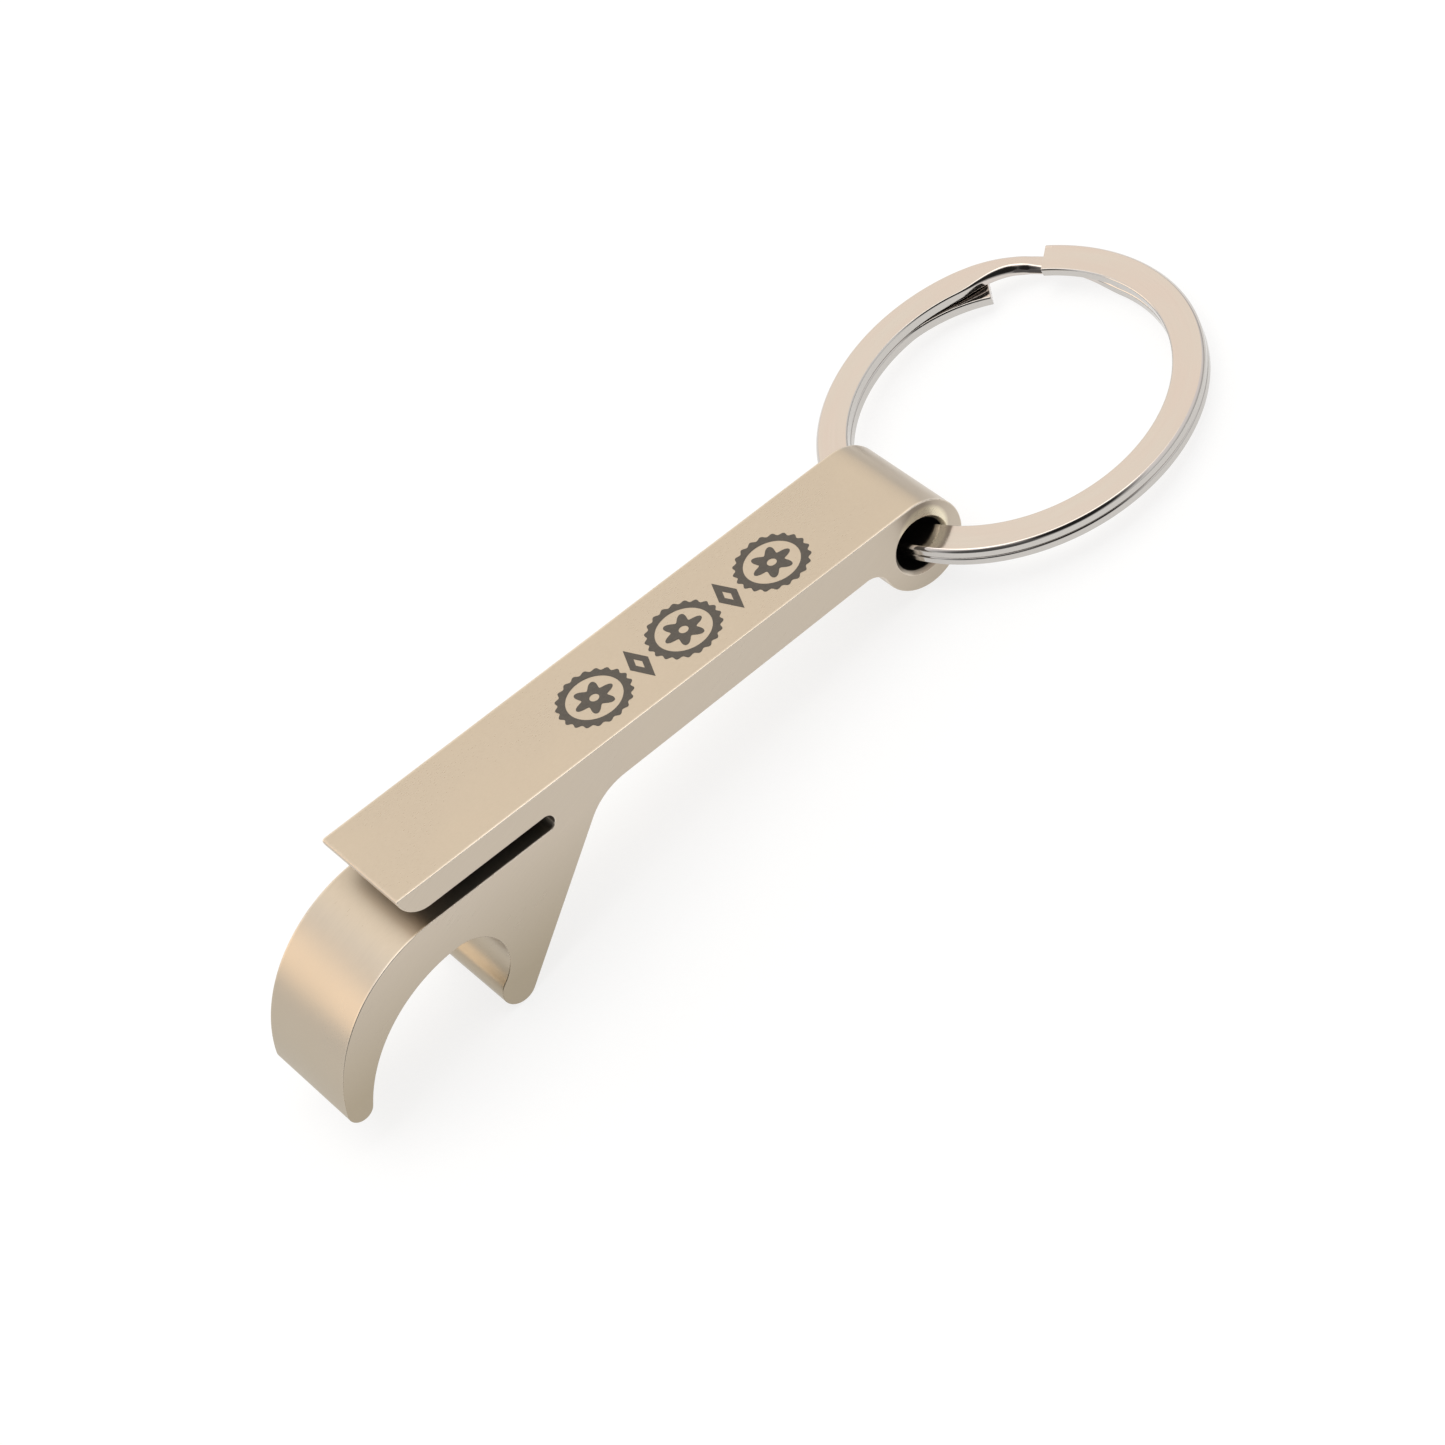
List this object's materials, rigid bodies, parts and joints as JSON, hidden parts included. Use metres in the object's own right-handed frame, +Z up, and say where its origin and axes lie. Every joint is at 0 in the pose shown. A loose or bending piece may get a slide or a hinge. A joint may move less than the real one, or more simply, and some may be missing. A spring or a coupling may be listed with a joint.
{
  "type": "keychain bottle opener",
  "caption": "Pocket bottle opener: a flat bar with a hooked mouth and a slotted tongue at one end and a split key ring through a cross bore at the other.",
  "frame": {"origin": "on the table under the middle of the whole object's bounding box", "axes": "+Z up from the table, +X along the handle from the mouth end towards the ring, +Y across the width"},
  "size_m": [0.0894, 0.031, 0.017],
  "materials": {
    "satin_body": "satin champagne nickel plating over a cut metal profile",
    "polished_ring": "polished nickel plating on flat spring-steel strip"
  },
  "bodies": {
    "opener": {"opener_body": "satin_body"},
    "ring": {"split_ring": "polished_ring"}
  },
  "joints": [
    {"name": "ring_swing", "type": "hinge", "parent": "opener", "child": "ring", "pos_m": [0.01564, 0, 0.0038], "axis": [0, -1, 0], "range_deg": [-182.5, 163]}
  ]
}
